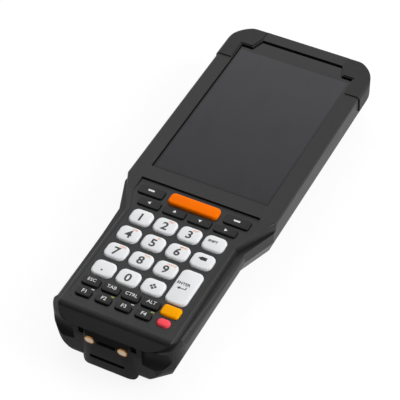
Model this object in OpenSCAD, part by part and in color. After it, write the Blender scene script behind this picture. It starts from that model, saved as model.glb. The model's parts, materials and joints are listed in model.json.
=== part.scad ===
// Rugged handheld barcode data terminal: a 4-inch touch display above a full keypad.
// Sizes are in millimetres. X runs across the terminal, Y towards its scanning end and Z up,
// from the flat surface that the back lies on. Places along the housing are counted from the
// groove between the display and the keypad, positive towards the scanning end.

/* [Housing] */
// Width across the display section
display_w = 72.8; // [72.6:0.1:73]
// Width across the grip
grip_w = 60.9; // [60.7:0.1:61.1]
// Width of the front cover on the grip
grip_front_w = 54.8; // [54.6:0.1:55]
// Height of the display section's face above the back
face_z = 25.5; // [25.4:0.1:25.7]
// Drop from the display section's face to the face around the keypad
keypad_drop = 0.8; // [0.7:0.05:0.85]
// Height of the parting line between the two covers
parting_z = 21.6; // [21.5:0.05:21.7]
// Wall of the rear cover
wall = 2; // [1.9:0.05:2.1]
// Reach of the housing from the groove to the scanning end
head_reach = 112.5; // [112.3:0.1:112.8]
// Reach of the housing from the groove to the dock face
dock_reach = 86.4; // [86.3:0.1:86.6]
// Radius of the corners at the scanning end
head_corner_r = 15.8; // [15.6:0.1:16]
// Radius of the rear cover's corners at the dock end
tail_corner_r = 12; // [11.8:0.1:12.4]
// Lean of the lower side walls from upright, in degrees
side_lean = 20; // [18:1:22]
// Radius between the side walls and the back
back_edge_r = 9; // [8.5:0.1:9.2]

/* [Display] */
// Width of the cover glass
glass_w = 56.8; // [56.4:0.1:57]
// Thickness of the cover glass
glass_t = 1.1; // [1:0.05:1.15]
// Depth of the glass below the front face
glass_drop = 0.9; // [0.8:0.05:1]
// Length of the panel's viewing area, 4 inches across its diagonal
view_l = 87.1; // [86.5:0.1:87.5]
// Width of the panel's viewing area
view_w = 52.3; // [52:0.1:52.4]

/* [Keypad] */
// Distance between the columns of number keys
number_pitch_x = 11.74; // [11.6:0.01:11.9]
// Distance between the rows of number keys
number_pitch_y = 11.03; // [10.95:0.01:11.1]
// Width of a number key
number_w = 10.2; // [9.8:0.1:10.3]
// Length of a number key
number_l = 8.7; // [8.4:0.1:8.8]
// Distance between the columns of the small function keys
function_pitch_x = 9.355; // [9.3:0.005:9.4]
// Height of the key tops above the keypad panel
key_proud = 1; // [0.8:0.1:1.2]
// Travel of a key
key_travel = 0.6; // [0.4:0.05:0.6]
// Gap between a key and its opening
key_gap = 0.25; // [0.2:0.05:0.3]

/* [Corner guards] */
// Thickness of a guard on the side wall
guard_side_t = 0.7; // [0.6:0.05:0.9]
// Thickness of a guard on the end wall
guard_end_t = 0.3; // [0.25:0.05:0.4]
// Height of a guard above the front face
guard_proud = 0.4; // [0.3:0.1:0.6]

/* [Battery] */
// Width of the battery pack
battery_w = 34.4; // [33:0.2:34.4]
// Length of the battery pack
battery_l = 64; // [60:0.5:64]
// Thickness of the battery pack
battery_t = 9.2; // [8.4:0.2:9.2]
// Half width of the battery cover
cover_half = 19; // [18.8:0.1:19]

/* [Hidden] */
$fn = 48;
reach = 200;
cut = 1;
fit = 0.05;
arc_steps = 12;

// Places along the housing, from the groove
contact_proud = 0.1;
groove_y = (dock_reach + contact_proud - head_reach - guard_end_t) / 2;
function along(v) = groove_y + v;

// Shoulders between the display section and the grip: a line's direction and distance
display_half = display_w / 2;
grip_half = grip_w / 2;
front_grip_half = grip_front_w / 2;
shoulder_start = -2.9;
shoulder_end = -18.9;
front_shoulder_start = -0.8;
front_shoulder_end = -19.5;
function shoulder_angle(half, end_half, start, end) = -atan((half - end_half) / (start - end));
function shoulder_d(half, start, a) = half * cos(a) + along(start) * sin(a);
rear_a = shoulder_angle(display_half, grip_half, shoulder_start, shoulder_end);
rear_d = shoulder_d(display_half, shoulder_start, rear_a);
front_a = shoulder_angle(display_half, front_grip_half, front_shoulder_start, front_shoulder_end);
front_d = shoulder_d(display_half, front_shoulder_start, front_a);
guard_half = display_half + guard_side_t;
guard_d = rear_d + guard_side_t;
guard_foot = 88.5;
guard_low = 17.5;
guard_rim = 0.8;
guard_corner_r = 15.6;
guard_crest_r = 2;
guard_head = head_reach + guard_end_t;
guard_top = face_z + guard_proud;
guard_seat = face_z - 1;
guard_gap = 0.1;
display_end = along(-60);
grip_start = along(10);
rear_end = 85;
front_end = rear_end;
front_corner_r = 11;

// Walls of the covers
lean_z = 16;
head_lean = 12;
head_edge_r = 5;
tail_lean = 4;
tail_edge_r = 5;
tail_corner_lean = 4;
tail_corner_edge_r = 12;
tail_corner_d = tail_corner_r + (grip_half - along(-rear_end) - 2 * tail_corner_r) * sin(45);
display_draft = 2;
shoulder_draft = 8;
shoulder_lean = 26;
head_crest_r = 0.6;
crest_r = 1.2;
grip_top_half = 26.5;
keypad_face_z = face_z - keypad_drop;
keypad_slope_end = -8;
grip_draft = atan((front_grip_half - grip_top_half) / (keypad_face_z - parting_z));
tail_crest = 79;
tail_draft = atan((front_end - tail_crest) / (keypad_face_z - parting_z));
tail_crest_r = 5;

// Cavity of the rear cover, and the seal in its rim
rim_w = 1.8;
rim_z = 19.6;
housing_seal_t = 0.6;
seal_outer = 0.6;
seal_inner = 1.3;

// Display stack, from the glass down
glass_z = face_z - glass_drop;
glass_half = glass_w / 2;
glass_gap = 0.2;
glass_foot = 7.6;
glass_head = 105.6;
notch_v = 99.1;
notch_in_x = 22.8;
notch_top_x = 20.4;
seal_t = 0.3;
seal_w = 1.2;
seal_inset = 0.1;
ledge_z = glass_z - glass_t - seal_t;
display_window = 1.4;
view_mid = 52.9;
lcd_z = 18.4;
lcd_half = 28;
lcd_border = 9;
lcd_step = 0.4;
chassis_t = 1.2;
chassis_z = lcd_z - chassis_t;
chassis_half = 28;
chassis_foot = 1;
chassis_head = 101;

// Keypad panel, mat and board
panel_t = 1.1;
panel_z = face_z - 0.9;
panel_ledge = 0.9;
panel_gap = 0.1;
panel_head = -0.4;
panel_foot = -75.2;
panel_head_half = 28.8;
panel_grip_half = 24.8;
panel_wide_end = -9;
panel_narrow_start = -18.6;
panel_corner_r = 5;
flange_w = 0.4;
flange_t = 0.8;
flange_gap = 0.4;
flange_z = panel_z - panel_t - flange_gap - flange_t;
plunger_r = 1.5;
mat_t = 0.6;
mat_z = 20.9;
mat_hole_r = 2.3;
mat_inset = 0.6;
keypad_board_t = 1;
keypad_board_z = 18.2;
dome_r = 1.9;
dome_h = 0.5;
dome_gap = 0.2;
plunger_z = keypad_board_z + keypad_board_t + dome_h + dome_gap + key_travel;

// Keys: name, place across, place along, width, length, corner radius, height above the panel, colour
white_key = "#e8e8ea";
black_key = "#2b2b2e";
number_first = -22.33;
number_r = 2.9;
modifier_row = -63.96;
function_row = -70.6;
arrow_row = -13.25;
scan_row = -6.5;
soft_pitch = 41.6;
arrow_pitch = 12.27;
flat_key = key_proud - 0.2;
number_names = [
    ["key_1", "key_2", "key_3", "key_shift"],
    ["key_4", "key_5", "key_6", "key_backspace"],
    ["key_7", "key_8", "key_9"],
    ["key_point", "key_0", "key_menu"]
];
number_keys = [
    for (row = [0:3])
        for (column = [0:len(number_names[row]) - 1])
            [number_names[row][column], (column - 1.5) * number_pitch_x,
             number_first - row * number_pitch_y, number_w, number_l, number_r, key_proud, white_key]
];
enter_key = ["key_enter", 1.5 * number_pitch_x, number_first - 2.5 * number_pitch_y,
             number_w, number_l + number_pitch_y, number_r, key_proud, white_key];
scan_key = ["key_scan", 0, scan_row, 24, 6.5, 2.4, key_proud + 0.6, "#ff6a00"];
soft_names = ["key_soft_left", "key_soft_right"];
soft_keys = [
    for (i = [0:1])
        [soft_names[i], (i - 0.5) * soft_pitch, scan_row, 12, 5.5, 1.4, flat_key, black_key]
];
arrow_names = ["key_left", "key_up", "key_down", "key_right"];
arrow_keys = [
    for (i = [0:3])
        [arrow_names[i], (i - 1.5) * arrow_pitch, arrow_row, 10.5, 4.6, 1.3, flat_key, black_key]
];
modifier_names = ["key_escape", "key_tab", "key_control", "key_alt"];
modifier_keys = [
    for (i = [0:3])
        [modifier_names[i], (i - 2) * function_pitch_x, modifier_row, 8, 5, 1.6, key_proud, black_key]
];
amber_key = ["key_amber", 2 * function_pitch_x, modifier_row, 8.5, 6, 1.8, key_proud, "#ffa500"];
function_names = ["key_f1", "key_f2", "key_f3", "key_f4"];
function_keys = [
    for (i = [0:3])
        [function_names[i], (i - 2) * function_pitch_x, function_row, 7, 4.3, 1.6, key_proud, black_key]
];
power_key = ["key_power", 2 * function_pitch_x, function_row, 6, 4.3, 2.1, key_proud, "#f0505a"];
keys = concat(soft_keys, [scan_key], arrow_keys, number_keys, [enter_key], modifier_keys,
              [amber_key], function_keys, [power_key]);

// Screws between the covers
screw_side_x = 31.2;
screw_side_rows = [8, 50, 94];
screw_tail_x = 19.5;
screw_tail_row = -78;
screw_spots = [
    for (side = [-1, 1]) each concat(
        [for (v = screw_side_rows) [side * screw_side_x, along(v)]],
        [[side * screw_tail_x, along(screw_tail_row)]]
    )
];
screw_r = 1.2;
screw_head_r = 2.2;
screw_head_t = 1.8;
screw_seat = 13.5;
screw_top = 24;
screw_clearance = 0.15;
screw_head_gap = 0.3;
socket_r = 0.9;
socket_depth = 0.9;
boss_r = 3;
post_r = 2;
keypad_post_x = 18;
keypad_post_rows = [-58, -20];
main_post_x = 25;
main_post_rows = [14, 84];

// Battery bay, cover and hinge
bay_half = 17.6;
bay_foot = -64;
bay_head = 4;
bay_wall = 1.2;
bay_top = 12.2;
bay_block_half = 20.5;
bay_block_foot = -65;
battery_z = 2.6;
battery_r = 2.5;
battery_foot = bay_foot + 0.3;
terminal_half = 6;
terminal_low = 5;
terminal_h = 4;
blade_pitch = 3.6;
blade_w = 1.2;
blade_l = 1;
blade_low = 6;
blade_h = 2;
cover_t = 1.8;
cover_z = 0.3;
cover_gap = 0.3;
cover_headroom = 0.2;
cover_foot = -66;
hinge_v = 8;
hinge_z = 1.4;
knuckle_r = 1.1;
knuckle_gap = 0.4;
pin_r = 0.8;
pin_fit = 0.06;
pin_l = 2;
pin_end_gap = 0.2;
hinge_block_half = 22.6;
hinge_block_head = hinge_v + 3;
hinge_block_top = 4.4;
hinge_clear = 1.6;

// Latch of the battery cover
latch_half = 5.5;
latch_l = 8.2;
latch_head = -66.9;
latch_travel = 2;
latch_gap = 0.4;
latch_z = 0.4;
latch_t = 1.6;
latch_floor = 2.2;
latch_block_half = 9;
latch_block_top = 3.4;
latch_block_foot = -79.5;
stem_half = 1.5;
stem_head = -70;
stem_l = 2;
keeper_half = 4;
keeper_t = 0.8;
keeper_z = 3.6;

// Dock face
dock_edge_r = 2;
dock_turn_r = 9;
dock_turn = 46;
dock_middle = 6.5;
dock_foot_r = 1.5;
dock_half = dock_middle + dock_turn_r * sin(dock_turn);
dock_top = 21.4;
dock_slope_h = 4;
dock_slope_run = 1.6;
dock_back = wall - rear_end;
contact_x = 7.7;
contact_z = 17;
contact_w = 4.4;
contact_l = 3.4;
port_z = 17.1;
port_half = 4.47;
port_h = 1.9;
port_r = 0.6;
port_wall = 0.4;
port_flange = 0.7;
port_flange_h = 3.6;
port_seat = 0.3;
pocket_x = 12.25;
pocket_z = 19.6;
pocket_w = 2.6;
pocket_l = 3.4;
pocket_depth = 2.6;
pocket_r = 0.5;
strap_half = 8.15;
strap_z = 6.4;
strap_h = 1.8;
strap_bar = 3;
strap_exit = 2.8;
strap_wall = 1.6;
strap_block_foot = -84;
strap_block_head = latch_block_foot + 0.6;
scoop_r = 7;
scoop_start = 17;
scoop_l = 11.4;
scoop_z = 16.5;
scoop_depth = 2;
scoop_turn = 11.6;
tail_fill_x = 14;
tail_fill_l = 11;
dock_board_v = -81.5;
dock_board_t = 1.2;
dock_board_half = 12.5;
dock_board_low = 10.2;
dock_board_high = 20.4;

// Scanning end
window_half = 13;
window_low = 6;
window_high = 15.6;
bezel_w = 2.4;
bezel_depth = 0.9;
window_drop = 0.2;
window_t = 1.5;
engine_half = 11;
engine_foot = 95;
engine_head = 106;
engine_low = 5;
engine_high = 15.8;
engine_foot_half = 9;
engine_foot_head = 102;
lens_z = 10.8;
lens_l = 1.6;
lenses = [[-4.5, 3.5], [5.5, 2.5]];

// Back of the display section
camera_v = 80;
camera_r = 5;
camera_half = 4.25;
camera_t = 4;
camera_lens_r = 3;
window_front_z = 0.4;
window_back_z = 1.5;
window_ledge = 1.6;
flash_x = 11;
flash_r = 2.2;
speaker_v = 42;
speaker_w = 17;
speaker_l = 14;
speaker_t = 3.6;
speaker_hollow = 1;
speaker_r = 2;
speaker_rim = 1.2;
slot_pitch = 2.4;
slot_l = 10;
slot_w = 1.2;
slot_r = 0.55;

// Boards inside the display section
main_board_z = 14;
main_board_t = 1.2;
main_board_half = 27.6;
main_board_foot = 8;
main_board_head = 90;
motor_x = -19;
motor_v = 24;
motor_r = 4;
motor_t = 2.8;
can_t = 0.3;
cans = [[-11, 66, 28, 32], [15, 66, 20, 32], [0, 30, 40, 26]];

// Rectangle with round corners, centred
module rounded_rect(w, l, r) {
    square([w - 2 * r, l], center = true);
    square([w, l - 2 * r], center = true);
    for (x = [-1, 1], y = [-1, 1])
        translate([x * (w / 2 - r), y * (l / 2 - r)]) circle(r);
}

// Box given by its half width and its stretch along the housing and in height
module bar(half, foot, head, low, high) {
    translate([-half, along(foot), low]) cube([2 * half, head - foot, high - low]);
}

// Points of an arc about x, y, from one direction to another
function arc(x, y, r, from, to) = [
    for (i = [0:arc_steps])
        let (a = from + (to - from) * i / arc_steps) [x + r * cos(a), y + r * sin(a)]
];

// Plan of the display section: round corners at the head, shoulders in direction a at distance d
module display_plan(half, head, r, a, d, grow = 0) {
    side = half + grow;
    shoulder_y = (d + grow - side * cos(a)) / sin(a);
    end_x = (d + grow - display_end * sin(a)) / cos(a);
    polygon(concat(
        [[end_x, display_end], [side, shoulder_y]],
        arc(half - r, along(head) - r, r + grow, 0, 90),
        arc(r - half, along(head) - r, r + grow, 90, 180),
        [[-side, shoulder_y], [-end_x, display_end]]
    ));
}

// Plan of the grip: straight sides and round corners at the dock end
module grip_plan(half, end, r, grow = 0) {
    side = half + grow;
    polygon(concat(
        [[side, grip_start], [-side, grip_start]],
        arc(r - half, along(-end) + r, r + grow, 180, 270),
        arc(half - r, along(-end) + r, r + grow, 270, 360)
    ));
}

// Block that ends, in direction a, in a wall at distance d that leans in to a round lower edge
module leaning_block(a, d, lean, r, base) {
    centre = d - (lean_z - base - r) * tan(lean) - r / cos(lean);
    rotate([0, 0, a]) rotate([90, 0, 0]) linear_extrude(height = 2 * reach, center = true) {
        polygon([
            [-reach, base], [centre, base], [centre + r * cos(lean), base + r * (1 - sin(lean))],
            [d + (2 * face_z - lean_z) * tan(lean), 2 * face_z], [-reach, 2 * face_z]
        ]);
        translate([centre, base + r]) circle(r);
    }
}

// Block that ends, in direction a, in a drafted wall with a round upper edge at height top
module crest_block(a, d, draft, r, top) {
    centre = d - (top - r - parting_z) * tan(draft) - r / cos(draft);
    rotate([0, 0, a]) rotate([90, 0, 0]) linear_extrude(height = 2 * reach, center = true) {
        polygon([
            [-reach, -reach], [d + (parting_z + reach) * tan(draft), -reach],
            [centre + r * cos(draft), top - r + r * sin(draft)], [centre, top], [-reach, top]
        ]);
        translate([centre, top - r]) circle(r);
    }
}

// Outer form of the lower part of the display section
module display_tub(half, head, r, d, grow, base, top) {
    intersection() {
        translate([0, 0, base]) linear_extrude(top - base)
            display_plan(half, head, r, rear_a, d, grow);
        leaning_block(0, half + grow, side_lean, back_edge_r, base);
        leaning_block(180, half + grow, side_lean, back_edge_r, base);
        leaning_block(rear_a, d + grow, shoulder_lean, back_edge_r, base);
        leaning_block(180 - rear_a, d + grow, shoulder_lean, back_edge_r, base);
        leaning_block(90, along(head) + grow, head_lean, head_edge_r, base);
    }
}

// Outer form of the lower part of the grip
module grip_tub(grow, base, top) {
    intersection() {
        translate([0, 0, base]) linear_extrude(top - base)
            grip_plan(grip_half, rear_end, tail_corner_r, grow);
        leaning_block(0, grip_half + grow, side_lean, back_edge_r, base);
        leaning_block(180, grip_half + grow, side_lean, back_edge_r, base);
        leaning_block(-90, -along(-rear_end) + grow, tail_lean, tail_edge_r, base);
        leaning_block(-45, tail_corner_d + grow, tail_corner_lean, tail_corner_edge_r, base);
        leaning_block(225, tail_corner_d + grow, tail_corner_lean, tail_corner_edge_r, base);
    }
}

module rear_form(grow, base, top) {
    display_tub(display_half, head_reach, head_corner_r, rear_d, grow, base, top);
    grip_tub(grow, base, top);
}

// Outline of the front cover
module front_plan(grow = 0) {
    display_plan(display_half, head_reach, head_corner_r, front_a, front_d, grow);
    grip_plan(front_grip_half, front_end, front_corner_r, grow);
}

// Outer form of the front cover, with its drafted walls and round crest
module front_form() {
    difference() {
        intersection() {
            translate([0, 0, parting_z]) linear_extrude(face_z)
                display_plan(display_half, head_reach, head_corner_r, front_a, front_d);
            crest_block(0, display_half, display_draft, crest_r, face_z);
            crest_block(180, display_half, display_draft, crest_r, face_z);
            crest_block(front_a, front_d, shoulder_draft, crest_r, face_z);
            crest_block(180 - front_a, front_d, shoulder_draft, crest_r, face_z);
            crest_block(90, along(head_reach), display_draft, head_crest_r, face_z);
        }
        rotate([90, 0, 90]) linear_extrude(height = 2 * reach, center = true) polygon([
            [along(panel_head), face_z], [along(keypad_slope_end), keypad_face_z],
            [-reach, keypad_face_z], [-reach, reach], [along(panel_head), reach]
        ]);
    }
    intersection() {
        translate([0, 0, parting_z]) linear_extrude(face_z)
            grip_plan(front_grip_half, front_end, front_corner_r);
        crest_block(0, front_grip_half, grip_draft, crest_r, keypad_face_z);
        crest_block(180, front_grip_half, grip_draft, crest_r, keypad_face_z);
        crest_block(-90, -along(-front_end), tail_draft, tail_crest_r, keypad_face_z);
    }
}

// Outline of the cover glass, with its two stepped head corners
module glass_plan(grow = 0) {
    side = [
        [glass_half + grow, along(glass_foot) - grow], [glass_half + grow, along(notch_v) + grow],
        [notch_in_x + grow, along(notch_v) + grow], [notch_top_x + grow, along(glass_head) + grow]
    ];
    polygon(concat(side, [for (i = [3:-1:0]) [-side[i][0], side[i][1]]]));
}

// Outline of the keypad panel
module panel_plan(grow = 0) {
    foot = along(panel_foot);
    head = along(panel_head) + grow;
    wide = panel_head_half + grow;
    narrow = panel_grip_half + grow;
    r = panel_corner_r;
    polygon(concat(
        [[narrow, along(panel_narrow_start)], [wide, along(panel_wide_end)], [wide, head],
         [-wide, head], [-wide, along(panel_wide_end)], [-narrow, along(panel_narrow_start)]],
        arc(r - panel_grip_half, foot + r, r + grow, 180, 270),
        arc(panel_grip_half - r, foot + r, r + grow, 270, 360)
    ));
}

// Area that the right-hand corner guard covers, seen from above
module guard_zone(grow = 0) {
    rim = guard_rim - grow;
    polygon([
        [glass_half + rim, along(guard_foot) - grow], [glass_half + rim, along(notch_v) + rim],
        [notch_in_x + rim, along(notch_v) + rim], [notch_top_x + rim, along(glass_head) + rim],
        [notch_top_x + rim, reach], [reach, reach], [reach, along(guard_foot) - grow]
    ]);
}

module guard_seats(grow) {
    for (side = [0, 1]) mirror([side, 0, 0]) translate([0, 0, guard_seat])
        linear_extrude(reach) guard_zone(grow);
}

module front_cover() {
    color("#3a3a3c") difference() {
        front_form();
        guard_seats(0);
        translate([0, 0, ledge_z]) linear_extrude(reach) glass_plan(glass_gap);
        translate([0, 0, parting_z - cut]) linear_extrude(reach) glass_plan(-display_window);
        translate([0, 0, panel_z - panel_t]) linear_extrude(reach) panel_plan(panel_gap);
        translate([0, 0, parting_z - cut]) linear_extrude(reach) panel_plan(-panel_ledge);
        for (spot = screw_spots) translate([spot[0], spot[1], parting_z - cut])
            cylinder(r = screw_r + fit, h = screw_top + fit - parting_z + cut);
    }
}

// Ring that follows the parting line under the wall of the front cover
module seal_ring(low, high, outer, inner) {
    translate([0, 0, low]) linear_extrude(high - low) difference() {
        front_plan(-outer);
        front_plan(-inner);
    }
}

module housing_seal() {
    color("#202020") seal_ring(parting_z - housing_seal_t, parting_z, seal_outer, seal_inner);
}

// Pairs of posts that carry a board
module posts(x, rows, low, high) {
    for (side = [-1, 1], v = rows) translate([side * x, along(v), low])
        cylinder(r = post_r, h = high - low);
}

module rear_cover() {
    color("#3d3d40") difference() {
        union() {
            difference() {
                rear_form(0, 0, parting_z);
                rear_form(-wall, wall, rim_z);
                translate([0, 0, rim_z - cut]) linear_extrude(parting_z) front_plan(-rim_w);
            }
            intersection() {
                rear_form(-wall / 2, wall / 2, parting_z);
                for (spot = screw_spots) translate([spot[0], spot[1], 0])
                    cylinder(r = boss_r, h = parting_z);
            }
            bar(bay_block_half, bay_foot - bay_wall, bay_head + bay_wall, wall / 2, bay_top + bay_wall);
            bar(hinge_block_half, bay_head, hinge_block_head, wall / 4, hinge_block_top);
            bar(latch_block_half, latch_block_foot, bay_block_foot, wall / 4, latch_block_top);
            bar(strap_half + strap_wall, strap_block_foot, strap_block_head, wall / 4,
                strap_z + strap_h + strap_wall);
            posts(keypad_post_x, keypad_post_rows, bay_top, keypad_board_z);
            posts(main_post_x, main_post_rows, wall / 2, main_board_z);
            tail_filling();
            dock_block();
        }
        scoops();
        seal_ring(parting_z - housing_seal_t - fit, reach, seal_outer - fit, seal_inner + fit);
        for (spot = screw_spots) translate([spot[0], spot[1], -cut]) {
            cylinder(r = screw_head_r + screw_head_gap, h = screw_seat + cut);
            cylinder(r = screw_r + screw_clearance, h = parting_z + 2 * cut);
        }
        bar(bay_half, bay_foot, bay_head, -cut, bay_top);
        bar(cover_half + cover_gap, cover_foot - cover_gap, hinge_v + hinge_clear, -cut,
            cover_z + cover_t + cover_headroom);
        hinge_line(cover_half + cover_gap, knuckle_r + knuckle_gap);
        hinge_line(cover_half + pin_l + pin_end_gap, pin_r + pin_fit);
        latch_pocket();
        dock_openings();
        head_openings();
        back_openings();
    }
}

module hinge_line(half, r) {
    translate([0, along(hinge_v), hinge_z]) rotate([0, 90, 0]) cylinder(r = r, h = 2 * half, center = true);
}

module latch_pocket() {
    foot = latch_head - latch_l - latch_travel - latch_gap;
    stem_foot = stem_head - stem_l - latch_travel - latch_gap;
    bar(latch_half + latch_gap, foot, cover_foot, -cut, latch_floor);
    bar(stem_half + latch_gap, stem_foot, stem_head + latch_gap, 0, latch_block_top + cut);
}

// Solid corners behind the hollows beside the dock face
module tail_filling() {
    intersection() {
        rear_form(-wall / 2, wall / 2, rim_z);
        for (side = [0, 1]) mirror([side, 0, 0])
            translate([tail_fill_x, along(-rear_end), 0]) cube([grip_half, tail_fill_l, rim_z]);
    }
}

// Raised block that carries the dock face, curved back towards its two sides
module dock_block() {
    y = along(-dock_reach);
    back = along(dock_back);
    foot = dock_half - dock_foot_r;
    intersection() {
        rotate([90, 0, 90]) linear_extrude(height = 2 * dock_half, center = true) {
            polygon([
                [back, 0], [y + dock_edge_r, 0], [y, dock_edge_r], [y, dock_top - dock_slope_h],
                [y + dock_slope_run, dock_top], [back, dock_top]
            ]);
            translate([y + dock_edge_r, dock_edge_r]) circle(dock_edge_r);
        }
        linear_extrude(dock_top) polygon(concat(
            [[dock_half, back], [-dock_half, back]],
            arc(-dock_middle, y + dock_turn_r, dock_turn_r, 270 - dock_turn, 270),
            arc(dock_middle, y + dock_turn_r, dock_turn_r, 270, 270 + dock_turn)
        ));
        rotate([90, 0, 0]) linear_extrude(height = 2 * reach, center = true) polygon(concat(
            [[dock_half, dock_top], [-dock_half, dock_top]],
            arc(-foot, dock_foot_r, dock_foot_r, 180, 270),
            arc(foot, dock_foot_r, dock_foot_r, 270, 360)
        ));
    }
}

// Hollows in the two corners beside the dock face, each a round bar with a ball end
module scoops() {
    $fn = 32;
    y = along(-rear_end) + scoop_depth - scoop_r;
    for (side = [0, 1]) mirror([side, 0, 0]) translate([scoop_start, y, scoop_z])
        rotate([0, 90, scoop_turn]) rotate_extrude() intersection() {
            union() {
                translate([-scoop_r, 0]) square([2 * scoop_r, scoop_l]);
                translate([0, scoop_l]) circle(scoop_r);
            }
            square([scoop_r, scoop_l + scoop_r]);
        }
}

// Rounded block seen from the dock end: place across, height, width and length, and its run in depth
module end_block(x, z, w, l, r, from, to) {
    translate([x, along(from), z]) rotate([90, 0, 0]) linear_extrude(from - to) rounded_rect(w, l, r);
}

module dock_openings() {
    outside = -dock_reach - cut;
    for (side = [-1, 1]) {
        end_block(side * contact_x, contact_z, contact_w + 2 * fit, contact_l + 2 * fit, contact_l / 2,
                  dock_back + cut, outside);
        end_block(side * pocket_x, pocket_z, pocket_w, pocket_l, pocket_r, -dock_reach + pocket_depth,
                  outside);
    }
    end_block(0, port_z, 2 * port_half, port_h, port_r, dock_back + cut, outside);
    bar(strap_half, -reach, -dock_reach + strap_bar + strap_exit, strap_z, strap_z + strap_h);
    bar(strap_half, -dock_reach + strap_bar, -dock_reach + strap_bar + strap_exit, -cut, strap_z + strap_h);
}

module head_openings() {
    bar(window_half + bezel_w, head_reach - bezel_depth, reach, window_low - bezel_w / 2,
        window_high + bezel_w / 2);
    bar(window_half, head_reach - 2 * wall, reach, window_low, window_high);
}

module back_openings() {
    translate([0, along(camera_v), -cut]) cylinder(r = camera_r + fit, h = cut + window_back_z);
    translate([0, along(camera_v), -cut]) cylinder(r = camera_r - window_ledge, h = wall + 2 * cut);
    translate([flash_x, along(camera_v), -cut]) cylinder(r = flash_r + fit, h = wall + 2 * cut);
    for (i = [-2:2]) translate([0, along(speaker_v) + i * slot_pitch, -cut])
        linear_extrude(wall + 2 * cut) rounded_rect(slot_l, slot_w, slot_r);
}

module corner_guard() {
    color("#333335") difference() {
        intersection() {
            display_tub(guard_half, guard_head, guard_corner_r, guard_d, 0, 0, guard_top);
            crest_block(0, guard_half, display_draft, guard_crest_r, guard_top);
            crest_block(90, along(guard_head), display_draft, guard_crest_r, guard_top);
            translate([0, 0, guard_low]) linear_extrude(reach) guard_zone();
        }
        rear_form(0, 0, parting_z);
        difference() {
            front_form();
            guard_seats(guard_gap);
        }
    }
}

module corner_guard_right() {
    corner_guard();
}

module corner_guard_left() {
    mirror([1, 0, 0]) corner_guard();
}

module keypad_panel() {
    color("#323338") translate([0, 0, panel_z - panel_t]) linear_extrude(panel_t) difference() {
        panel_plan();
        for (k = keys) translate([k[1], along(k[2])])
            rounded_rect(k[3] + 2 * key_gap, k[4] + 2 * key_gap, k[5] + key_gap);
    }
}

module display_glass() {
    color("#1c1c20") translate([0, 0, glass_z - glass_t]) linear_extrude(glass_t) glass_plan();
}

module glass_seal() {
    color("#151515") translate([0, 0, ledge_z]) linear_extrude(seal_t) difference() {
        glass_plan(-seal_inset);
        glass_plan(-seal_w);
    }
}

module display_panel() {
    color("#46464e") {
        translate([0, along(view_mid), lcd_z]) linear_extrude(parting_z - lcd_z)
            square([2 * lcd_half, view_l + lcd_border], center = true);
        translate([0, along(view_mid), parting_z]) linear_extrude(ledge_z + seal_t - parting_z)
            square([view_w - lcd_step, view_l], center = true);
    }
}

module display_chassis() {
    color("#8c8f94") bar(chassis_half, chassis_foot, chassis_head, chassis_z, lcd_z);
}

module keypad_mat() {
    color("#4a4a4a") translate([0, 0, mat_z]) linear_extrude(mat_t) difference() {
        panel_plan(-mat_inset - panel_ledge);
        for (k = keys) translate([k[1], along(k[2])]) circle(mat_hole_r);
    }
}

module keypad_board() {
    color("#1f5a3a") translate([0, 0, keypad_board_z]) linear_extrude(keypad_board_t)
        panel_plan(-mat_inset - panel_ledge);
    color("silver") for (k = keys) translate([k[1], along(k[2]), keypad_board_z + keypad_board_t])
        cylinder(r = dome_r, h = dome_h);
}

module main_board() {
    color("#1f5a3a") bar(main_board_half, main_board_foot, main_board_head, main_board_z,
                         main_board_z + main_board_t);
}

// Shield cans: each a thin lid with its four walls, open underneath
module shield_cans() {
    low = main_board_z + main_board_t;
    h = chassis_z - low;
    color("silver") for (can = cans) translate([can[0], along(can[1]), low]) difference() {
        linear_extrude(h) square([can[2], can[3]], center = true);
        translate([0, 0, -cut]) linear_extrude(h - can_t + cut)
            square([can[2] - 2 * can_t, can[3] - 2 * can_t], center = true);
    }
}

module scan_window() {
    color("#2a1216") bar(window_half - fit, head_reach - bezel_depth - window_drop - window_t,
                         head_reach - bezel_depth - window_drop, window_low + fit, window_high - fit);
}

module scan_engine() {
    color("#26262a") {
        bar(engine_half, engine_foot, engine_head, engine_low, engine_high);
        bar(engine_foot_half, engine_foot, engine_foot_head, wall, engine_low);
        for (lens = lenses) translate([lens[0], along(engine_head), lens_z])
            rotate([-90, 0, 0]) cylinder(r = lens[1], h = lens_l);
    }
}

module camera_window() {
    color("#18181c") translate([0, along(camera_v), window_front_z]) {
        cylinder(r = camera_r, h = window_back_z - window_front_z);
        translate([flash_x, 0, 0]) cylinder(r = flash_r, h = wall - window_front_z);
    }
}

module camera_module() {
    color("#202024") {
        bar(camera_half, camera_v - camera_half, camera_v + camera_half, wall, wall + camera_t);
        translate([0, along(camera_v), window_back_z])
            cylinder(r = camera_lens_r, h = wall - window_back_z);
    }
}

module speaker() {
    color("#2c2c30") translate([0, along(speaker_v), wall]) difference() {
        linear_extrude(speaker_t) rounded_rect(speaker_w, speaker_l, speaker_r);
        translate([0, 0, -cut]) linear_extrude(speaker_hollow + cut)
            rounded_rect(speaker_w - 2 * speaker_rim, speaker_l - 2 * speaker_rim, speaker_r - speaker_rim);
    }
}

module vibration_motor() {
    color("silver") translate([motor_x, along(motor_v), main_board_z - motor_t])
        cylinder(r = motor_r, h = motor_t);
}

module dock_board() {
    color("#1f5a3a") bar(dock_board_half, dock_board_v, dock_board_v + dock_board_t, dock_board_low,
                         dock_board_high);
}

module dock_contacts() {
    color("gold") for (side = [-1, 1])
        end_block(side * contact_x, contact_z, contact_w, contact_l, contact_l / 2 - fit,
                  dock_board_v, -dock_reach - contact_proud);
}

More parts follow.
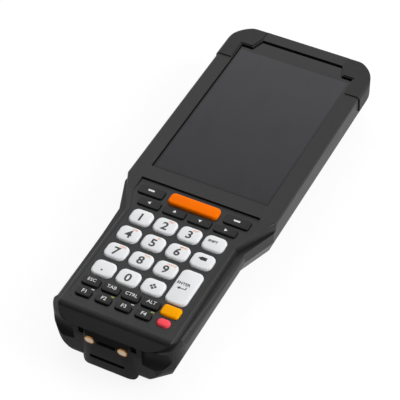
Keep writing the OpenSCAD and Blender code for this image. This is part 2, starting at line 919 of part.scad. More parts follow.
module io_connector() {
    color("#505054") difference() {
        union() {
            end_block(0, port_z, 2 * (port_half - fit), port_h - 2 * fit, port_r - fit, dock_board_v,
                      -dock_reach + port_flange);
            bar(port_half + port_flange, dock_back + port_seat, dock_board_v, port_z - port_flange_h / 2,
                port_z + port_flange_h / 2);
        }
        end_block(0, port_z, 2 * (port_half - port_wall), port_h - 2 * port_wall, port_r - port_wall,
                  dock_board_v - port_wall, -dock_reach);
    }
}

module battery_pack() {
    color("#303034") translate([0, along(battery_foot) + battery_l / 2, battery_z])
        linear_extrude(battery_t) rounded_rect(battery_w, battery_l, battery_r);
}

module battery_contacts() {
    blade_foot = battery_foot + battery_l;
    color("gold") {
        bar(terminal_half, blade_foot + blade_l, bay_head, terminal_low, terminal_low + terminal_h);
        for (i = [-1:1]) translate([i * blade_pitch - blade_w / 2, along(blade_foot), blade_low])
            cube([blade_w, blade_l, blade_h]);
    }
}

module battery_cover() {
    color("#38383b") {
        intersection() {
            grip_tub(0, 0, parting_z);
            bar(cover_half, cover_foot, hinge_v, cover_z, cover_z + cover_t);
        }
        hinge_line(cover_half, knuckle_r);
        hinge_line(cover_half + pin_l, pin_r);
    }
}

module battery_latch() {
    ridge_pitch = 1.8;
    ridge_r = 0.4;
    hook_reach = 1.5;
    color("#2c2c2e") {
        difference() {
            bar(latch_half, latch_head - latch_l, latch_head, latch_z, latch_z + latch_t);
            for (i = [-1:1]) translate([0, along(latch_head - latch_l / 2) + i * ridge_pitch, latch_z])
                rotate([0, 90, 0]) cylinder(r = ridge_r, h = latch_half, center = true);
        }
        bar(stem_half, stem_head - stem_l, stem_head, latch_z + latch_t / 2, keeper_z + keeper_t / 2);
        bar(keeper_half, stem_head - stem_l - hook_reach, stem_head + hook_reach, keeper_z,
            keeper_z + keeper_t);
    }
}

module housing_screws() {
    color("#55565a") for (spot = screw_spots) translate([spot[0], spot[1], 0]) difference() {
        union() {
            translate([0, 0, screw_seat - screw_head_t]) cylinder(r = screw_head_r, h = screw_head_t);
            translate([0, 0, screw_seat]) cylinder(r = screw_r, h = screw_top - screw_seat);
        }
        translate([0, 0, screw_seat - screw_head_t - cut])
            cylinder(r = socket_r, h = socket_depth + cut, $fn = 6);
    }
}

// Key: cap, flange that keeps it under the panel, and plunger that presses its dome
module key(k) {
    color(k[7]) translate([k[1], along(k[2]), 0]) {
        translate([0, 0, flange_z + flange_t / 2]) linear_extrude(panel_z + k[6] - flange_z - flange_t / 2)
            rounded_rect(k[3], k[4], k[5]);
        translate([0, 0, flange_z]) linear_extrude(flange_t)
            rounded_rect(k[3] + 2 * flange_w, k[4] + 2 * flange_w, k[5]);
        translate([0, 0, plunger_z]) cylinder(r = plunger_r, h = flange_z + flange_t / 2 - plunger_z);
    }
}

front_cover();
rear_cover();
corner_guard_left();
corner_guard_right();
keypad_panel();
display_glass();
glass_seal();
display_panel();
display_chassis();
keypad_mat();
keypad_board();
main_board();
shield_cans();
housing_seal();
scan_window();
scan_engine();
camera_window();
camera_module();
speaker();
vibration_motor();
dock_board();
dock_contacts();
io_connector();
battery_pack();
battery_cover();
battery_latch();
battery_contacts();
housing_screws();
for (k = keys) key(k);
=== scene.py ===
"""Looks of a rugged handheld data terminal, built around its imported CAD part.

Forms are drawn in millimetres in the part's own frame, x across the terminal, y towards its
scanning end and z up out of the display, and they become metres when a piece is finished.
"""

import json
import math

import bmesh
import bpy
from mathutils import Matrix, Quaternion, Vector


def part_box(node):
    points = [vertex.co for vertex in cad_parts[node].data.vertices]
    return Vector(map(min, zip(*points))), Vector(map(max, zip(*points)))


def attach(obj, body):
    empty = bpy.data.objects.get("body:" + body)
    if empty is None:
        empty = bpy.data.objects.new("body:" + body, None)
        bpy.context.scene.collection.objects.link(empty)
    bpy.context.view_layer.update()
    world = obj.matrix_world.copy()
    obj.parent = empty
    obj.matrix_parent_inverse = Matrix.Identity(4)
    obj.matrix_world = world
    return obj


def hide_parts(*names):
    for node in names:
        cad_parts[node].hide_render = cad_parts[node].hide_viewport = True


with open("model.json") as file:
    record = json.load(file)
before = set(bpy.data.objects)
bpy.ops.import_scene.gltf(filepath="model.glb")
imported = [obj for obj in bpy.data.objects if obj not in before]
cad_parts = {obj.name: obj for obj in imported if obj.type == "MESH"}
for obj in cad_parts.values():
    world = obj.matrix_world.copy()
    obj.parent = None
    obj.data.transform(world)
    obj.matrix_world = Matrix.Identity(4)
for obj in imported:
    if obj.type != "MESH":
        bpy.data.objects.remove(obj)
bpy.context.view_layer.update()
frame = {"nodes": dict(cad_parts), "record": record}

MM = 0.001
NODES = frame["nodes"]


def box_mm(node):
    """Lowest and highest corner of a CAD node, in millimetres."""
    low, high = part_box(node)
    return low / MM, high / MM


# ---------------------------------------------------------------- shader expressions


class Value:
    """A shader socket that takes part in Python's own arithmetic."""

    def __init__(self, tree, socket):
        self.tree = tree
        self.socket = socket

    def math(self, operation, *values):
        return self.tree.node("ShaderNodeMath", {"operation": operation}, dict(enumerate(values)))

    def __add__(self, other):
        return self.math("ADD", self, other)

    def __sub__(self, other):
        return self.math("SUBTRACT", self, other)

    def __rsub__(self, other):
        return self.math("SUBTRACT", other, self)

    def __mul__(self, other):
        return self.math("MULTIPLY", self, other)

    def __abs__(self):
        return self.math("ABSOLUTE", self)

    def above(self, limit):
        return self.math("GREATER_THAN", self, limit)

    def between(self, low, high):
        """0 at low, 1 at high, and an even slope in between."""
        ramp = {"interpolation_type": "LINEAR", "clamp": True}
        limits = {0: self, 1: low, 2: high, 3: 0.0, 4: 1.0}
        return self.tree.node("ShaderNodeMapRange", ramp, limits)

    __radd__ = __add__
    __rmul__ = __mul__


class Tree:
    """A node tree that is written as expressions."""

    def __init__(self, tree):
        self.tree = tree

    def node(self, kind, settings=None, inputs=None, out=0):
        """Adds a node: its settings first, then the values or links of its sockets."""
        made = self.tree.nodes.new(kind)
        for name, value in (settings or {}).items():
            setattr(made, name, value)
        for socket, value in (inputs or {}).items():
            if isinstance(value, Value):
                self.tree.links.new(value.socket, made.inputs[socket])
            else:
                made.inputs[socket].default_value = value
        return Value(self, made.outputs[out])

    def ray(self, name):
        """1 for one kind of ray, such as those that come straight from the camera."""
        return self.node("ShaderNodeLightPath", out=name)


class Finish(Tree):
    """A node-based material of one of the terminal's surfaces."""

    def __init__(self, name, **fixed):
        self.material = bpy.data.materials.new(name)
        self.material.use_nodes = True
        super().__init__(self.material.node_tree)
        self.shader = self.tree.nodes["Principled BSDF"]
        for socket, value in fixed.items():
            title = socket.replace("_", " ").title().replace("Ior", "IOR")
            self.shader.inputs[title].default_value = value
        self.place = self.node("ShaderNodeTexCoord", out="Object")

    def noise(self, size_mm, detail, stretch=(1, 1, 1)):
        """Even noise whose lumps are about size_mm across, with some levels of finer detail."""
        scaled = self.node("ShaderNodeMapping", {}, {"Vector": self.place, "Scale": stretch})
        lumps = {"Vector": scaled, "Scale": 1 / (size_mm * MM), "Detail": detail}
        return self.node("ShaderNodeTexNoise", {}, lumps)

    def part(self, axis):
        """One coordinate of the place, in millimetres."""
        split = self.node("ShaderNodeSeparateXYZ", {}, {0: self.place}, out=axis)
        return split * (1 / MM)

    def blend(self, mask, below, above):
        """The colour below where the mask is 0 and the colour above where it is 1."""
        mix = {"data_type": "RGBA", "blend_type": "MIX"}
        return self.node("ShaderNodeMix", mix, {0: mask, 6: rgba(below), 7: rgba(above)}, out=2)

    def bump(self, height, depth_mm):
        """Relief of the given depth, for the shader's Normal."""
        relief = {"Height": height, "Distance": depth_mm * MM, "Strength": 1.0}
        return self.node("ShaderNodeBump", {}, relief)

    def wear(self, **varying):
        """Links what changes over the surface to the shader."""
        for socket, value in varying.items():
            self.tree.links.new(value.socket, self.shader.inputs[socket.replace("_", " ").title()])
        return self.material


def rgba(colour):
    return colour if isinstance(colour, Value) else (*colour, 1.0)


def tone(grey, warm=0.0):
    """A near-grey colour in linear light, a little warm or, if negative, a little blue."""
    return (grey * (1 + warm), grey, grey * (1 - warm))


# ---------------------------------------------------------------- finishes


def moulded(name, dark, light, rough, grain_mm=0.32, grain_depth=0.02, **fixed):
    """Moulded plastic or rubber with a spark-eroded grain and an even, slightly cloudy tone."""
    finish = Finish(name, **fixed)
    cloud = finish.noise(26, 3)
    speckle = finish.noise(grain_mm * 1.7, 1)
    scuff = finish.noise(5, 4, (1, 0.35, 1)).between(0.56, 0.72)
    colour = finish.blend(cloud * 0.55 + speckle * 0.45, dark, light)
    grain = finish.noise(grain_mm, 2)
    roughness = speckle * 0.12 + cloud * 0.08 + scuff * 0.05 + (rough - 0.1)
    return finish.wear(
        Base_Color=colour,
        Roughness=roughness,
        Normal=finish.bump(grain, grain_depth),
    )


def coated_silicone(name, dark, light, rough=0.42, **fixed):
    """Silicone with a hard satin coat: nearly even, with faint clouds and a very fine grain."""
    finish = Finish(name, **fixed)
    cloud = finish.noise(3.5, 3)
    fine = finish.noise(0.18, 1)
    colour = finish.blend(cloud, dark, light)
    return finish.wear(
        Base_Color=colour,
        Roughness=cloud * 0.1 + fine * 0.08 + (rough - 0.09),
        Normal=finish.bump(fine, 0.006),
    )


def printed_ink(name, dark, light):
    """Screen-printed ink, slightly uneven at its edges."""
    finish = Finish(name)
    uneven = finish.noise(0.25, 2)
    colour = finish.blend(uneven, dark, light)
    return finish.wear(Base_Color=colour, Roughness=uneven * 0.15 + 0.45)


VIEWING_HALF_X = (27.6, 27.2)
VIEWING_HALF_Y = (43.8, 43.5)
VIEWING_SHIFT = 3.7


def cover_glass_finish():
    """Dark hardened glass: a black printed border, the grey viewing area painted lighter towards
    the head end as a painted sheen, and faint smears.
    """
    finish = Finish("cover_glass", coat_roughness=0.04, coat_ior=1.5, specular_ior_level=0.0)
    low, high = box_mm("display_glass")
    across = abs(finish.part("X")).between(*VIEWING_HALF_X)
    middle = (low.y + high.y) / 2 - VIEWING_SHIFT
    along = abs(finish.part("Y") - middle).between(*VIEWING_HALF_Y)
    viewing = across * along
    smear = finish.noise(9, 4, (1, 0.5, 1)).between(0.5, 0.8)
    # painted sheen: the viewing area's colour gets lighter towards the head end, and its coat
    # stronger
    painted_sheen_to_head = finish.part("Y").between(low.y, high.y)
    area = finish.blend(painted_sheen_to_head, (0.016, 0.0155, 0.021), (0.024, 0.0235, 0.03))
    border = finish.blend(smear, (0.0035, 0.0035, 0.0038), (0.0048, 0.0048, 0.005))
    return finish.wear(
        Base_Color=finish.blend(viewing, border, area),
        Roughness=smear * 0.1 + 0.12,
        Coat_Weight=painted_sheen_to_head * 0.3 + 0.75 - smear * 0.1,
    )


def brushed(name, dark, light, rough):
    """Metal with fine lines along the terminal."""
    finish = Finish(name, metallic=1.0)
    lines = finish.noise(0.12, 3, (1, 0.04, 1))
    return finish.wear(
        Base_Color=finish.blend(lines, dark, light),
        Roughness=lines * 0.2 + (rough - 0.1),
        Normal=finish.bump(lines, 0.004),
    )


CONTACT_HALF = 2.2
CONTACT_LEAN = 3.0
CONTACT_GRAIN = 0.003


def contact_plating():
    """Satin gold plating on the charging contacts, painted pale in the middle of each and deep
    orange towards its rim as a painted highlight and shade.
    """
    finish = Finish("contact_gold", metallic=0.9)
    low, high = box_mm("dock_contacts")
    across = (abs(finish.part("X")) - (high.x - CONTACT_HALF)) * (1 / CONTACT_HALF)
    up = (finish.part("Z") - (low.z + high.z) / 2) * (2 / (high.z - low.z))
    # painted highlight and shade: each contact is pale in its middle and deeper orange towards its
    # rim
    painted_rim_shade = (across * across + up * up).between(0.45, 1.0)
    lines = finish.noise(0.2, 3)
    lean = up.between(1.0, -1.0) * CONTACT_LEAN
    return finish.wear(
        Base_Color=finish.blend(painted_rim_shade, (1.0, 0.87, 0.69), (0.95, 0.4, 0.1)),
        Roughness=lines * 0.2 + 0.25,
        Normal=finish.bump(lines * CONTACT_GRAIN + lean, 1.0),
    )


def solder_mask():
    """Green board lacquer with copper tracks showing faintly through it."""
    finish = Finish("circuit_board", roughness=0.3)
    tracks = finish.node(
        "ShaderNodeTexBrick",
        {"offset": 0.35},
        {"Vector": finish.place, "Scale": 420.0, "Mortar Size": 0.03},
        out="Fac",
    )
    cloud = finish.noise(6, 3)
    lacquer = finish.blend(cloud, (0.012, 0.07, 0.035), (0.018, 0.1, 0.05))
    return finish.wear(
        Base_Color=finish.blend(tracks, lacquer, (0.03, 0.16, 0.07)),
        Roughness=cloud * 0.15 + 0.25,
        Normal=finish.bump(tracks, 0.03),
    )


def tinted_window(name, deep, bright, centre=None, radius=1.0):
    """A dark window; round a lens it has the rings of its coating."""
    finish = Finish(name, coat_weight=1.0, coat_roughness=0.02)
    if centre is None:
        mask = finish.noise(8, 2)
    else:
        across = finish.part("X") - centre[0]
        along = finish.part("Y") - centre[1]
        squared = across * across + along * along
        distance = finish.node("ShaderNodeMath", {"operation": "SQRT"}, {0: squared})
        mask = distance.between(0.0, radius) * (1.0 - distance.above(radius))
    return finish.wear(
        Base_Color=finish.blend(mask, deep, bright),
        Roughness=finish.noise(2, 3) * 0.1 + 0.05,
    )


LENS_CENTRE = (0, 66.85)
LENS_RADIUS = 2.6
SATIN = {"specular_ior_level": 0.42}
DULL = {"specular_ior_level": 0.3}
MATT = {"specular_ior_level": 0.02}
FINISHES = {
    "front_plastic": moulded("front_plastic", tone(0.009), tone(0.014), 0.44, **SATIN),
    "rear_plastic": moulded("rear_plastic", tone(0.009), tone(0.014), 0.45, **SATIN),
    "guard_rubber": moulded("guard_rubber", tone(0.007), tone(0.012), 0.55, 0.26, 0.015, **SATIN),
    "panel_plastic": moulded(
        "panel_plastic", tone(0.008, -0.08), tone(0.012, -0.08), 0.42, 0.2, 0.006, **SATIN
    ),
    "cover_glass": cover_glass_finish(),
    "seal_foam": moulded("seal_foam", tone(0.006), tone(0.012), 0.85, 0.5, 0.08),
    "display_stack": moulded("display_stack", tone(0.03, -0.1), tone(0.04, -0.1), 0.3, 0.6, 0.002),
    "chassis_metal": moulded(
        "chassis_metal", tone(0.24), tone(0.32), 0.5, 0.4, 0.02, metallic=0.8
    ),
    "mat_silicone": coated_silicone("mat_silicone", tone(0.05), tone(0.07), 0.5),
    "circuit_board": solder_mask(),
    "shield_metal": brushed("shield_metal", tone(0.5), tone(0.66), 0.35),
    "scan_glass": tinted_window("scan_glass", (0.02, 0.002, 0.003), (0.045, 0.004, 0.006)),
    "lens_glass": tinted_window(
        "lens_glass", (0.004, 0.004, 0.006), (0.012, 0.014, 0.03), LENS_CENTRE, LENS_RADIUS
    ),
    "module_plastic": moulded("module_plastic", tone(0.014), tone(0.02), 0.5, 0.3, 0.01),
    "contact_gold": contact_plating(),
    "connector_metal": brushed("connector_metal", tone(0.24), tone(0.34), 0.35),
    "battery_wrap": moulded("battery_wrap", tone(0.02), tone(0.028), 0.35, 0.9, 0.004),
    "latch_plastic": moulded("latch_plastic", tone(0.016), tone(0.022), 0.38, 0.22, 0.006),
    "screw_steel": brushed("screw_steel", tone(0.1), tone(0.16), 0.4),
    "key_white_silicone": coated_silicone(
        "key_white_silicone", tone(0.78, -0.015), tone(0.84, -0.015)
    ),
    "key_black_silicone": coated_silicone(
        "key_black_silicone", tone(0.005), tone(0.008), 0.4, **DULL
    ),
    "key_orange_silicone": coated_silicone(
        "key_orange_silicone", (0.96, 0.16, 0.0), (1.0, 0.19, 0.0), **MATT
    ),
    "key_amber_silicone": coated_silicone(
        "key_amber_silicone", (0.96, 0.36, 0.0), (1.0, 0.42, 0.0), **MATT
    ),
    "key_red_silicone": coated_silicone(
        "key_red_silicone", (0.95, 0.075, 0.1), (1.0, 0.1, 0.13), **MATT
    ),
}
INKS = {
    "key_black_silicone": printed_ink("dark_ink", tone(0.03), tone(0.05)),
    "key_white_silicone": printed_ink("white_ink", tone(0.68), tone(0.8)),
    "key_orange_silicone": printed_ink("orange_ink", (0.85, 0.24, 0.05), (0.95, 0.33, 0.08)),
    "key_amber_silicone": printed_ink("green_ink", (0.26, 0.3, 0.04), (0.34, 0.38, 0.07)),
}


def slot_of(node):
    """The record's material slot of a CAD node."""
    subparts = frame["record"]["subparts"]
    return next(part["material_slot"] for part in subparts if part["node"] == node)


def dress_nodes():
    """Gives every CAD node the finish of its slot."""
    for name, node in NODES.items():
        node.data.materials.clear()
        node.data.materials.append(FINISHES[slot_of(name)])


dress_nodes()

# ---------------------------------------------------------------- forms

MERGE_MM = 1e-4
MERGE_M = 2e-6
FLAT = math.radians(0.4)
SMOOTH_ANGLE = 38
FACET_ANGLE = 1
LEVEL_MM = 0.01
CORNER_SEGMENTS = 5
ROUND = {"profile": 0.5, "material": -1, "offset_type": "OFFSET"}


def piece(name, form, body, material, replaced=None, smooth_angle=SMOOTH_ANGLE):
    """Turns a form drawn in millimetres into a piece that rides on a body.

    Where it stands in for a CAD node, that node is hidden.
    """
    bmesh.ops.remove_doubles(form, verts=form.verts, dist=MERGE_MM)
    bmesh.ops.recalc_face_normals(form, faces=form.faces)
    bmesh.ops.scale(form, verts=form.verts, vec=(MM, MM, MM))
    mesh = bpy.data.meshes.new(name)
    form.to_mesh(mesh)
    form.free()
    mesh.materials.append(material)
    mesh.polygons.foreach_set("use_smooth", [True] * len(mesh.polygons))
    mesh.set_sharp_from_angle(angle=math.radians(smooth_angle))
    made = bpy.data.objects.new(name, mesh)
    bpy.context.scene.collection.objects.link(made)
    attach(made, body)
    if replaced:
        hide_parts(replaced)


def rounded_face(form, centre, width, length, corner, height):
    """A level face with round corners."""
    corners = bmesh.ops.create_grid(form, x_segments=1, y_segments=1, size=0.5)["verts"]
    bmesh.ops.scale(form, verts=corners, vec=(width, length, 1))
    bmesh.ops.translate(form, verts=corners, vec=(centre[0], centre[1], height))
    plan = {"geom": corners, "affect": "VERTICES", "segments": CORNER_SEGMENTS}
    return bmesh.ops.bevel(form, offset=corner, **plan, **ROUND)["verts"][0].link_faces[0]


def thicken(form, face, height):
    """Makes a solid of a level face by raising a copy of it, and returns the copy."""
    raised = bmesh.ops.extrude_face_region(form, geom=[face])["geom"]
    top = next(part for part in raised if isinstance(part, bmesh.types.BMFace))
    for vertex in top.verts:
        vertex.co.z = height
    return top


def raise_face(form, face, height):
    """Moves a face to a height, with walls under its edges, and returns it."""
    lifted = bmesh.ops.extrude_discrete_faces(form, faces=[face])["faces"][0]
    for vertex in lifted.verts:
        vertex.co.z = height
    return lifted


def round_edges(form, edges, radius, segments, clamp=False):
    """Rounds edges in place, with as much radius as fits where clamp is on."""
    painted_rim_shade = {"geom": edges, "affect": "EDGES", "offset": radius, "segments": segments}
    bmesh.ops.bevel(form, clamp_overlap=clamp, **painted_rim_shade, **ROUND)


def part_copy(node):
    """A CAD node's form, merged, in millimetres and without the edges inside its flat faces."""
    form = bmesh.new()
    form.from_mesh(NODES[node].data)
    bmesh.ops.remove_doubles(form, verts=form.verts, dist=MERGE_M)
    bmesh.ops.scale(form, verts=form.verts, vec=(1 / MM, 1 / MM, 1 / MM))
    bmesh.ops.dissolve_limit(form, angle_limit=FLAT, verts=form.verts, edges=form.edges)
    return form


# ---------------------------------------------------------------- shell

LEDGE_ROUND = 2.6
LEDGE_SEGMENTS = 9
LEDGE_BAND = 6.2
LEDGE_FROM = -88.5
LEDGE_TO = -30.0
DOCK_CREST_Y = -90.5
DOCK_END_Y = -98.2
DOCK_DROP = 1.6
UPPER_SKIN_Z = 22.6


def shell(name, form, node):
    """Puts a reshaped cover in the place of its CAD node."""
    slot = slot_of(node)
    piece(name, form, "housing", FINISHES[slot], node, FACET_ANGLE)


def round_ledge():
    """The rear cover with the outer edge of its ledge, beside the keypad, rounded."""
    form = part_copy("rear_cover")
    top = box_mm("rear_cover")[1].z
    inner = box_mm("front_cover")[1].x - LEDGE_BAND

    def on_ledge(vertex):
        x, y, z = vertex.co
        return abs(z - top) < LEVEL_MM and abs(x) > inner and LEDGE_FROM < y < LEDGE_TO

    ledge = [edge for edge in form.edges if all(on_ledge(vertex) for vertex in edge.verts)]
    round_edges(form, ledge, LEDGE_ROUND, LEDGE_SEGMENTS)
    shell("rear_shell", form, "rear_cover")


def slope_dock_end():
    """The front cover with its upper skin sloping more steeply from the crest to the dock end."""
    form = part_copy("front_cover")
    everything = form.verts[:] + form.edges[:] + form.faces[:]
    crest = {"plane_co": (0, DOCK_CREST_Y, 0), "plane_no": (0, 1, 0)}
    bmesh.ops.bisect_plane(form, geom=everything, **crest)
    for vertex in form.verts:
        if vertex.co.y < DOCK_CREST_Y and vertex.co.z > UPPER_SKIN_Z:
            vertex.co.z -= DOCK_DROP * (DOCK_CREST_Y - vertex.co.y) / (DOCK_CREST_Y - DOCK_END_Y)
    shell("front_shell", form, "front_cover")


round_ledge()
slope_dock_end()

# ---------------------------------------------------------------- keys

FLANGE = 0.4
FLANGE_RISE = 1.8
FLANGE_T = 0.8
RIM_SEGMENTS = 4
PLUNGER_R = 1.5
PLUNGER_L = 2.0
PLUNGER_SIDES = 24

DIGIT_KEYS = [f"key_{digit}" for digit in range(10)]
PLAIN_KEYS = ["key_point", "key_menu", "key_shift", "key_backspace", "key_enter"]
SOFT_KEYS = ["key_soft_left", "key_soft_right"]
ARROW_TURNS = {"key_left": 90, "key_up": 0, "key_down": 180, "key_right": -90}
MODIFIER_KEYS = {"key_escape": "ESC", "key_tab": "TAB", "key_control": "CTRL", "key_alt": "ALT"}
FUNCTION_KEYS = {f"key_f{number}": f"F{number}" for number in range(1, 5)}
CORNER_AND_RIM = {
    **dict.fromkeys(DIGIT_KEYS + PLAIN_KEYS, (3.2, 1.0)),
    "key_scan": (2.4, 0.9),
    **dict.fromkeys(SOFT_KEYS, (1.4, 0.4)),
    **dict.fromkeys(ARROW_TURNS, (1.3, 0.4)),
    **dict.fromkeys([*MODIFIER_KEYS, *FUNCTION_KEYS], (1.6, 0.6)),
    "key_amber": (1.8, 0.9),
    "key_power": (2.3, 1.1),
}


def key_middle(node):
    """The middle of a key, seen from above."""
    low, high = box_mm(node)
    return ((low.x + high.x) / 2, (low.y + high.y) / 2)


def key_cap(node, corner, painted_rim_shade):
    """A key in the place of its CAD node: flange, cap with a round rim, and plunger."""
    form = bmesh.new()
    low, high = box_mm(node)
    centre = key_middle(node)
    size = high - low
    foot = rounded_face(form, centre, size.x, size.y, corner, low.z + FLANGE_RISE)
    shoulder = thicken(form, foot, low.z + FLANGE_RISE + FLANGE_T)
    bmesh.ops.inset_region(form, faces=[shoulder], thickness=FLANGE)
    top = raise_face(form, shoulder, high.z)
    round_edges(form, top.edges[:], painted_rim_shade, RIM_SEGMENTS, clamp=True)
    rod = {"radius1": PLUNGER_R, "radius2": PLUNGER_R, "depth": PLUNGER_L}
    plunger = bmesh.ops.create_cone(form, cap_ends=True, segments=PLUNGER_SIDES, **rod)["verts"]
    bmesh.ops.translate(form, verts=plunger, vec=(*centre, low.z + PLUNGER_L / 2))
    slot = slot_of(node)
    piece(f"{node}_cap", form, node, FINISHES[slot], node)


for node_name, (corner_radius, rim_radius) in CORNER_AND_RIM.items():
    key_cap(node_name, corner_radius, rim_radius)

# ---------------------------------------------------------------- printed legends

INK_T = 0.06
LETTER_STEPS = 3
DARK = "key_black_silicone"
WHITE = "key_white_silicone"
ORANGE = "key_orange_silicone"
GREEN = "key_amber_silicone"


def add_bar(form, x, y, width, length, turn=0):
    """Adds a flat bar, turned by some degrees about its middle."""
    corners = bmesh.ops.create_grid(form, x_segments=1, y_segments=1, size=0.5)["verts"]
    bmesh.ops.scale(form, verts=corners, vec=(width, length, 1))
    bmesh.ops.rotate(form, verts=corners, matrix=Matrix.Rotation(math.radians(turn), 3, "Z"))
    bmesh.ops.translate(form, verts=corners, vec=(x, y, 0))


def add_disc(form, x, y, radius, sides=20, turn=0):
    """Adds a flat disc or, with few sides, a shape such as a triangle that points up."""
    painted_rim_shade = bmesh.ops.create_circle(form, cap_ends=True, segments=sides, radius=radius)["verts"]
    bmesh.ops.rotate(form, verts=painted_rim_shade, matrix=Matrix.Rotation(math.radians(turn), 3, "Z"))
    bmesh.ops.translate(form, verts=painted_rim_shade, vec=(x, y, 0))


def add_letters(form, x, y, text, height, weight):
    """Adds flat letters, as tall as given, about a middle; the weight makes them bolder."""
    curve = bpy.data.curves.new("letters", "FONT")
    curve.body = text
    curve.offset = weight
    curve.resolution_u = LETTER_STEPS
    holder = bpy.data.objects.new("letters", curve)
    bpy.context.scene.collection.objects.link(holder)
    evaluated = holder.evaluated_get(bpy.context.evaluated_depsgraph_get())
    flat = bpy.data.meshes.new_from_object(evaluated)
    earlier = len(form.verts)
    form.from_mesh(flat)
    form.verts.ensure_lookup_table()
    letters = form.verts[earlier:]
    low = Vector([min(vertex.co[axis] for vertex in letters) for axis in range(3)])
    high = Vector([max(vertex.co[axis] for vertex in letters) for axis in range(3)])
    scale = height / (high.y - low.y)
    bmesh.ops.translate(form, verts=letters, vec=-(low + high) / 2)
    bmesh.ops.scale(form, verts=letters, vec=(scale, scale, 1))
    bmesh.ops.translate(form, verts=letters, vec=(x, y, 0))
    bpy.data.objects.remove(holder)
    bpy.data.curves.remove(curve)
    bpy.data.meshes.remove(flat)


def print_mark(name, body, ink, level, *strokes, origin):
    """Prints flat strokes as a thin closed skin at a level, about an origin.

    Each stroke is the function that adds it, followed by its values.
    """
    form = bmesh.new()
    for add, *values in strokes:
        add(form, *values)
    raised = bmesh.ops.extrude_face_region(form, geom=form.faces[:])["geom"]
    upper = [part for part in raised if isinstance(part, bmesh.types.BMVert)]
    bmesh.ops.translate(form, verts=upper, vec=(0, 0, INK_T))
    bmesh.ops.translate(form, verts=form.verts, vec=(*origin, level - INK_T / 2))
    piece(name, form, body, INKS[ink])


def print_on_key(node, ink, *strokes, part="legend"):
    """Prints on a key's top, with places counted from its middle."""
    top = box_mm(node)[1].z
    print_mark(f"{node}_{part}", node, ink, top, *strokes, origin=key_middle(node))


DIGIT_HEIGHT = 4.5
DIGIT_WEIGHT = 0.024
LETTER_GROUPS = ["ABC", "DEF", "GHI", "JKL", "MNO", "PQRS", "TUV", "WXYZ"]
SQUARE = 1.05
SQUARE_OUT = 0.95
SQUARE_SPOTS = ((1, 0), (0, 1), (-1, 0), (0, -1))

for digit, digit_key in enumerate(DIGIT_KEYS):
    print_on_key(digit_key, DARK, (add_letters, 0, -0.3, str(digit), DIGIT_HEIGHT, DIGIT_WEIGHT))
for letters_key, group in zip(DIGIT_KEYS[2:], LETTER_GROUPS):
    print_on_key(letters_key, ORANGE, (add_letters, 1.6, 2.75, group, 1.05, 0.01), part="letters")
print_on_key("key_point", DARK, (add_disc, -0.3, -1.3, 0.45))
diamond = [
    (add_bar, SQUARE_OUT * x, SQUARE_OUT * y, SQUARE, SQUARE, 45) for x, y in SQUARE_SPOTS
]
print_on_key("key_menu", DARK, *diamond)
print_on_key("key_shift", DARK, (add_letters, -0.9, 0.7, "SHIFT", 1.4, 0.04))
print_on_key(
    "key_backspace", DARK, (add_bar, 0.2, 0.95, 2.7, 1.9), (add_disc, -1.4, 0.95, 1.1, 3, 90)
)
cross = [(add_bar, 0.25, 0.95, 1.5, 0.3, turn) for turn in (45, -45)]
print_on_key("key_backspace", WHITE, *cross, part="cross")
print_on_key(
    "key_enter",
    DARK,
    (add_letters, -0.9, 1.4, "ENTER", 1.5, 0.03),
    (add_disc, -1.9, -1.3, 0.95, 3, 90),
    (add_bar, -0.2, -1.3, 3.0, 0.4),
    (add_bar, 1.1, -0.75, 0.4, 1.4),
)
for soft_key in SOFT_KEYS:
    print_on_key(soft_key, WHITE, (add_bar, -0.3, 0.2, 3.0, 0.95))
for arrow_key, arrow_turn in ARROW_TURNS.items():
    print_on_key(arrow_key, WHITE, (add_disc, 0, 0.1, 0.95, 3, arrow_turn))
for word_key, word in MODIFIER_KEYS.items():
    print_on_key(word_key, WHITE, (add_letters, 0, 0.65, word, 1.7, 0.005))
for word_key, word in FUNCTION_KEYS.items():
    print_on_key(word_key, WHITE, (add_letters, 0, 0.45, word, 1.85, 0.01))

MARK_SHIFT = 2.6
MARK_RISE = 3.2
MARKS = [(WHITE, 1.3, 0.4), (GREEN, 1.5, 0.7), (WHITE, 1.3, 0.4), (GREEN, 1.5, 0.7)]
PANEL_TOP = box_mm("keypad_panel")[1].z
for number, (mark_ink, mark_width, mark_length) in enumerate(MARKS, start=1):
    middle_x, middle_y = key_middle(f"key_f{number}")
    mark_place = (middle_x + MARK_SHIFT, middle_y + MARK_RISE)
    mark = (add_bar, 0, 0, mark_width, mark_length)
    print_mark(f"panel_mark_{number}", "housing", mark_ink, PANEL_TOP, mark, origin=mark_place)

# ---------------------------------------------------------------- studio

LENS = 160.0
SENSOR = 36.0
CLIP = (0.05, 20.0)
CAMERA_PLACE = Vector((0.2509, -0.49305, 0.5788))
CAMERA_AZIMUTH = math.radians(27.655)
CAMERA_ELEVATION = math.radians(45.727)
CAMERA_ROLL = math.radians(-0.944)
FLOOR_HALF = 3.0
FLOOR_GAP = 0.0001
FLOOR_GLOW = 0.88
FLOOR_GLOW_MIRRORED = 0.9
# span where the floor's glow in reflections fades out in front of the dock end: painted shade
FLOOR_MIRRORED_Y = (-125, -65)
WORLD_DARK = 0.03
WORLD_DIFFUSE = 1.5
WORLD_AHEAD = (0.0, 0.52)
WORLD_RIGHT = (0.4, 0.65)
WORLD_ABOVE = (0.15, 0.35)
LAMP_TARGET = (0.0, 0.0, 0.02)
LAMPS = {
    "lamp_above": {"place_at": (-0.42, 0.2, 0.8), "size": 0.6, "power": 1.2},
    "lamp_right": {"place_at": (0.95, 0.25, 0.65), "size": 0.5, "power": 4.5},
    "lamp_dock": {"place_at": (-0.26, -0.76, 0.4), "size": 0.2, "power": 0.2},
}


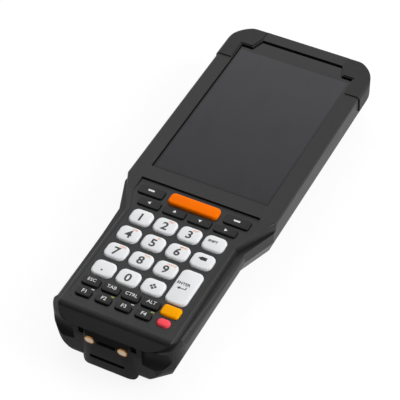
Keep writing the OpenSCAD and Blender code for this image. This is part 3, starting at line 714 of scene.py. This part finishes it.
def set_camera():
    """A long lens, from the right of the dock end and above."""
    data = bpy.data.cameras.new("camera")
    data.lens = LENS
    data.sensor_width = SENSOR
    data.clip_start, data.clip_end = CLIP
    camera = bpy.data.objects.new("camera", data)
    bpy.context.scene.collection.objects.link(camera)
    level = math.cos(CAMERA_ELEVATION)
    across, along = math.sin(CAMERA_AZIMUTH) * level, math.cos(CAMERA_AZIMUTH) * level
    ahead = Vector((-across, along, -math.sin(CAMERA_ELEVATION)))
    turn = ahead.to_track_quat("-Z", "Y") @ Quaternion((0, 0, 1), CAMERA_ROLL)
    camera.matrix_world = Matrix.Translation(CAMERA_PLACE) @ turn.to_matrix().to_4x4()
    bpy.context.scene.camera = camera


def lay_floor():
    """A pale floor that looks white and keeps the terminal's shadow; seen in reflections it is
    painted dark in front of the dock end, a painted shade.
    """
    form = bmesh.new()
    bmesh.ops.create_grid(form, x_segments=1, y_segments=1, size=FLOOR_HALF)
    bmesh.ops.translate(form, verts=form.verts, vec=(0, 0, -FLOOR_GAP))
    mesh = bpy.data.meshes.new("floor")
    form.to_mesh(mesh)
    form.free()
    floor = bpy.data.objects.new("floor", mesh)
    bpy.context.scene.collection.objects.link(floor)
    finish = Finish("floor_white", specular_ior_level=0.0, emission_strength=1.0)
    cloud = finish.noise(300, 2)
    straight = finish.ray("Is Camera Ray")
    mirrored = finish.ray("Is Glossy Ray") + finish.ray("Is Transmission Ray")
    # painted shade in reflections: the floor glows for mirrored rays beside and behind the
    # terminal, not in front of its dock end
    beside = finish.part("Y").between(*FLOOR_MIRRORED_Y)
    glow = straight * FLOOR_GLOW + mirrored * beside * FLOOR_GLOW_MIRRORED
    white = finish.node("ShaderNodeCombineColor", {}, {0: glow, 1: glow, 2: glow})
    colour = finish.blend(cloud, tone(0.14), tone(0.16))
    mesh.materials.append(finish.wear(Base_Color=colour, Emission_Color=white))


def light_world():
    """White surroundings behind and to the right, and a dark room in front of the dock end."""
    world = bpy.data.worlds.new("studio")
    world.use_nodes = True
    bpy.context.scene.world = world
    surroundings = Tree(world.node_tree)
    background = world.node_tree.nodes["Background"]
    background.inputs["Color"].default_value = (1, 1, 1, 1)
    straight = surroundings.ray("Is Camera Ray")
    diffuse = surroundings.ray("Is Diffuse Ray")
    direction = surroundings.node("ShaderNodeTexCoord", out="Generated")
    ahead = surroundings.node("ShaderNodeSeparateXYZ", {}, {0: direction}, out="Y")
    right = surroundings.node("ShaderNodeSeparateXYZ", {}, {0: direction}, out="X")
    above = surroundings.node("ShaderNodeSeparateXYZ", {}, {0: direction}, out="Z")
    beside = right.between(*WORLD_RIGHT) * above.between(*WORLD_ABOVE)
    bright = beside.math("MAXIMUM", beside, ahead.between(*WORLD_AHEAD))
    lit = bright * (1 - WORLD_DARK) + WORLD_DARK
    kept = 1 - diffuse * (1 - WORLD_DIFFUSE)
    strength = straight + (1 - straight) * lit * kept
    world.node_tree.links.new(strength.socket, background.inputs["Strength"])


def hang_lamp(name, place_at, size, power):
    """A square soft lamp that faces the terminal."""
    data = bpy.data.lights.new(name, "AREA")
    data.shape = "SQUARE"
    data.size = size
    data.energy = power
    lamp = bpy.data.objects.new(name, data)
    bpy.context.scene.collection.objects.link(lamp)
    lamp.location = place_at
    towards = Vector(LAMP_TARGET) - Vector(place_at)
    lamp.rotation_euler = towards.to_track_quat("-Z", "Y").to_euler()


set_camera()
lay_floor()
light_world()
for lamp_name, lamp_values in LAMPS.items():
    hang_lamp(lamp_name, **lamp_values)
bpy.context.scene.view_settings.view_transform = "Standard"
